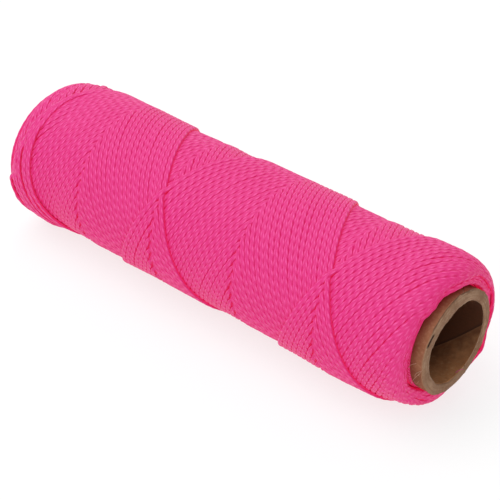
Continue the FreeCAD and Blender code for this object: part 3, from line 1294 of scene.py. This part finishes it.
@dataclass
class CrushedEdge:
    """The tube's near edge: board crushed to a soft lip, torn fibres and a shred of line.

    Each fibre's course gives points as X, angle and radius.
    """

    axis_height: float
    face: float
    middle_radius: float = 18.05
    half_wall: float = 2.2
    half_depth: float = 0.75
    segments: tuple[int, int] = (200, 28)
    dents: tuple[Dent, ...] = (Dent(18.0, 38.0, -1.2, 0.0), Dent(-130.0, 60.0, 1.0, -0.7))
    dent_reach: float = 0.6
    ripples: tuple[Ripple, ...] = (Ripple(0.12, 5, 1.0), Ripple(0.08, 11, 0.0))
    face_ripple: Ripple = Ripple(0.15, 3, 0.5)
    pulp_scale: float = 1.6
    rough: float = 0.5
    fibre_width: float = 0.09
    fibre_steps: int = 8
    fibres: tuple[tuple[Place, ...], ...] = (
        ((95.0, 120.0, 20.9), (97.0, 107.8, 21.3), (99.4, 96.5, 20.8)),
        ((98.8, 101.0, 20.3), (99.7, 96.0, 20.9), (100.6, 90.0, 20.2)),
        ((94.9, 95.8, 20.6), (96.2, 89.7, 21.0), (97.8, 86.6, 20.3)),
        ((97.3, 105.8, 20.4), (98.4, 97.2, 20.9), (99.9, 93.0, 20.3)),
        ((96.0, 112.0, 20.2), (97.6, 113.0, 20.9), (99.0, 108.0, 20.4)),
    )
    shred: tuple[Place, ...] = ((99.4, -170.0, 15.9), (100.3, -165.0, 15.2), (100.9, -160.5, 15.9))
    finish: PaperFinish = EdgeFinish(
        "crushed_board", (0.345, 0.213, 0.133), (0.22, 0.115, 0.065), (0.42, 0.29, 0.195)
    )
    fluff: PaperFinish = PaperFinish(
        "pale_fibre", (0.42, 0.25, 0.17), (0.34, 0.17, 0.11), (0.5, 0.34, 0.24)
    )
    dyed: PaperFinish = PaperFinish(
        "pink_fibre", (0.5, 0.06, 0.2), (0.4, 0.03, 0.13), (0.6, 0.1, 0.3)
    )

    def build(self) -> list[Piece]:
        """Builds the lip, the fibres and the shred.

        Returns:
            The new pieces.
        """
        pieces = [
            self.build_lip(),
            self.strands("torn_board_fibres", self.fibres, self.fluff),
            self.strands("line_shred", (self.shred,), self.dyed),
        ]
        for piece in pieces:
            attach(piece, BODY)
        return pieces

    def build_lip(self) -> Piece:
        """Makes the soft lip of crushed board on the tube's end face.

        Returns:
            The new object.
        """
        bpy.ops.object.select_all(action="DESELECT")
        middle = (self.face * MM, 0.0, self.axis_height * MM)
        bpy.ops.mesh.primitive_torus_add(
            major_segments=self.segments[0],
            minor_segments=self.segments[1],
            major_radius=self.middle_radius * MM,
            minor_radius=self.half_wall * MM,
            location=middle,
            rotation=(0.0, math.pi / 2, 0.0),
        )
        lip = bpy.context.active_object
        lip.name = "crushed_board_edge"
        bpy.ops.object.transform_apply(location=True, rotation=True, scale=True)
        bpy.ops.object.mode_set(mode="EDIT")
        bpy.ops.mesh.select_all(action="SELECT")
        squeeze = self.half_depth / self.half_wall
        bpy.ops.transform.resize(value=(squeeze, 1.0, 1.0), center_override=middle)
        bpy.ops.object.mode_set(mode="OBJECT")
        for vertex in lip.data.vertices:
            vertex.co = self.crush(vertex.co)
        pulp = bpy.data.textures.new("board_pulp", "CLOUDS")
        pulp.noise_scale = self.pulp_scale * MM
        roughen = lip.modifiers.new("pulp", "DISPLACE")
        roughen.texture = pulp
        roughen.texture_coords = "LOCAL"
        roughen.strength = self.rough * MM
        bpy.ops.object.modifier_apply(modifier=roughen.name)
        bpy.ops.object.shade_smooth()
        lip.data.materials.append(self.finish.material())
        return lip

    def crush(self, place: Vector) -> Vector:
        """Moves one point of the lip: its inner edge is dented, and all of it is a little uneven.

        Args:
            place: the point, in metres.

        Returns:
            Where it goes.
        """
        y, z = place.y / MM, place.z / MM - self.axis_height
        radius, turn = math.hypot(y, z), math.degrees(math.atan2(-y, z))
        inward = (self.middle_radius + self.dent_reach - radius) / self.half_wall
        inward = min(max(inward, 0.0), 1.0)
        shift = sum(dent.at(turn, inward) for dent in self.dents)
        shift += sum(ripple.at(turn) for ripple in self.ripples)
        wider = (radius + shift) / radius
        ahead = self.face_ripple.at(turn) * MM if place.x > self.face * MM else 0.0
        return Vector((place.x + ahead, y * wider * MM, (z * wider + self.axis_height) * MM))

    def strands(
        self, name: str, courses: tuple[tuple[Place, ...], ...], finish: PaperFinish
    ) -> Piece:
        """Makes thin curved fibres as one piece.

        Args:
            name: the piece's name.
            courses: the fibres' courses.
            finish: the fibres' finish.

        Returns:
            The new object.
        """
        bpy.ops.object.select_all(action="DESELECT")
        made = []
        for course in courses:
            bpy.ops.curve.primitive_bezier_curve_add(location=(0.0, 0.0, 0.0))
            curve = bpy.context.active_object
            spline = curve.data.splines[0]
            spline.bezier_points.add(len(course) - 2)
            for point, (x, turn, radius) in zip(spline.bezier_points, course):
                point.co = Vector(around_axis(x, radius, turn, self.axis_height)) * MM
                point.handle_left_type = point.handle_right_type = "AUTO"
            curve.data.bevel_depth = self.fibre_width * MM
            curve.data.bevel_resolution = 1
            curve.data.resolution_u = self.fibre_steps
            curve.data.use_fill_caps = True
            bpy.ops.object.convert(target="MESH")
            made.append(bpy.context.active_object)
        bpy.ops.object.select_all(action="DESELECT")
        for piece in made:
            piece.select_set(True)
        bpy.context.view_layer.objects.active = made[0]
        if len(made) > 1:
            bpy.ops.object.join()
        bpy.ops.object.shade_smooth()
        made[0].name = name
        made[0].data.materials.append(finish.material())
        return made[0]


@dataclass(frozen=True)
class SoftBox:
    """A square soft box: where it stands, its side, its power in watts, and where it faces."""

    name: str
    place: Place
    size: float
    power: float
    aim: Place = (0.0, 0.0, 0.03)

    def build(self) -> None:
        """Makes the lamp."""
        data = bpy.data.lights.new(self.name, "AREA")
        data.size = self.size
        data.energy = self.power
        lamp = placed(self.name, data)
        lamp.location = self.place
        aim = Vector(self.aim) - Vector(self.place)
        lamp.rotation_euler = aim.to_track_quat("-Z", "Y").to_euler()


@dataclass
class Studio:
    """The camera, the floor and the soft light, with a white background for the camera."""

    camera_place: Place = (0.3545, -0.4090, 0.3959)
    azimuth: float = 40.49
    elevation: float = 34.67
    roll: float = 0.85
    lens: float = 124.44
    sensor: float = 36.0
    floor_half: float = 3.0
    floor_drop: float = 0.0002
    floor_colour: Colour = (0.92, 0.92, 0.92)
    floor_roughness: float = 0.9
    floor_white: float = 0.75
    surroundings: float = 0.55
    white: Colour = (1.0, 1.0, 1.0)
    boxes: tuple[SoftBox, ...] = (
        SoftBox("top_box", (-0.35, -0.25, 0.9), 1.1, 8.1),
        SoftBox("front_box", (0.55, -0.9, 0.55), 0.8, 3.0),
        SoftBox("back_box", (-0.4, 0.8, 0.7), 0.8, 3.0),
    )

    def build(self) -> None:
        """Sets up the whole studio."""
        self.build_camera()
        self.build_floor()
        for box in self.boxes:
            box.build()
        self.build_surroundings()
        bpy.context.scene.view_settings.view_transform = "Standard"

    def build_camera(self) -> None:
        """Makes the camera at the photograph's angle."""
        data = bpy.data.cameras.new("camera")
        data.lens = self.lens
        data.sensor_width = self.sensor
        camera = placed("camera", data)
        camera.location = self.camera_place
        turn, rise = math.radians(self.azimuth), math.radians(self.elevation)
        level = math.cos(rise)
        ahead = Vector((-math.sin(turn) * level, math.cos(turn) * level, -math.sin(rise)))
        roll = Quaternion((0.0, 0.0, 1.0), math.radians(self.roll))
        camera.rotation_euler = (ahead.to_track_quat("-Z", "Y") @ roll).to_euler()
        bpy.context.scene.camera = camera

    def build_floor(self) -> None:
        """Makes the pale floor, which shows white to the camera and keeps a soft shadow."""
        bpy.ops.object.select_all(action="DESELECT")
        place = (0.0, 0.0, -self.floor_drop)
        bpy.ops.mesh.primitive_plane_add(size=2 * self.floor_half, location=place)
        floor = bpy.context.active_object
        floor.name = "floor"
        graph = Graph("pale_floor")
        graph.shade("Base Color", self.floor_colour)
        graph.shade("Roughness", self.floor_roughness)
        glow = graph.add("Emission")
        graph.feed(self.white, glow.inputs["Color"])
        path = graph.add("LightPath")
        seen = graph.math("MAXIMUM", path.outputs["Is Camera Ray"], path.outputs["Is Glossy Ray"])
        seen = graph.math("MAXIMUM", seen, path.outputs["Is Transmission Ray"])
        blend = graph.add("MixShader")
        parts = (graph.times(seen, self.floor_white), graph.shader.outputs["BSDF"], glow.outputs[0])
        for part, socket in zip(parts, blend.inputs):
            graph.feed(part, socket)
        graph.feed(blend.outputs[0], graph.output.inputs["Surface"])
        floor.data.materials.append(graph.material)

    def build_surroundings(self) -> None:
        """Makes the world: soft light on the package, and white for the camera."""
        world = bpy.data.worlds.new("surroundings")
        bpy.context.scene.world = world
        world.use_nodes = True
        tree = world.node_tree
        background = tree.nodes["Background"]
        background.inputs["Color"].default_value = (*self.white, 1.0)
        path = tree.nodes.new("ShaderNodeLightPath")
        strength = tree.nodes.new("ShaderNodeMapRange")
        strength.inputs["To Min"].default_value = self.surroundings
        tree.links.new(path.outputs["Is Camera Ray"], strength.inputs["Value"])
        tree.links.new(strength.outputs["Result"], background.inputs["Strength"])


def main() -> None:
    """Builds the package and its studio."""
    wrap_low, wrap_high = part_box("core_outer_wrap")
    turns_low, turns_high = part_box("line_outer_turns")
    shape = WoundShape(
        axis_height=(wrap_low.z + wrap_high.z) / 2 / MM,
        belly_radius=(turns_high.y - turns_low.y) / 2 / MM - BELLY_INSET,
        tube_radius=(wrap_high.z - wrap_low.z) / 2 / MM,
    )
    LOG.info("outline: belly %.2f mm, tube %.2f mm", shape.belly_radius, shape.tube_radius)
    PaperTube().dress()
    edge = CrushedEdge(axis_height=shape.axis_height, face=wrap_high.x / MM)
    for piece in WoundLine(shape, Winder(shape)).build() + edge.build():
        LOG.info("built %s: %d faces", piece.name, len(piece.data.polygons))
    Studio().build()


if __name__ == "__main__":
    logging.basicConfig(level=logging.INFO)
    main()
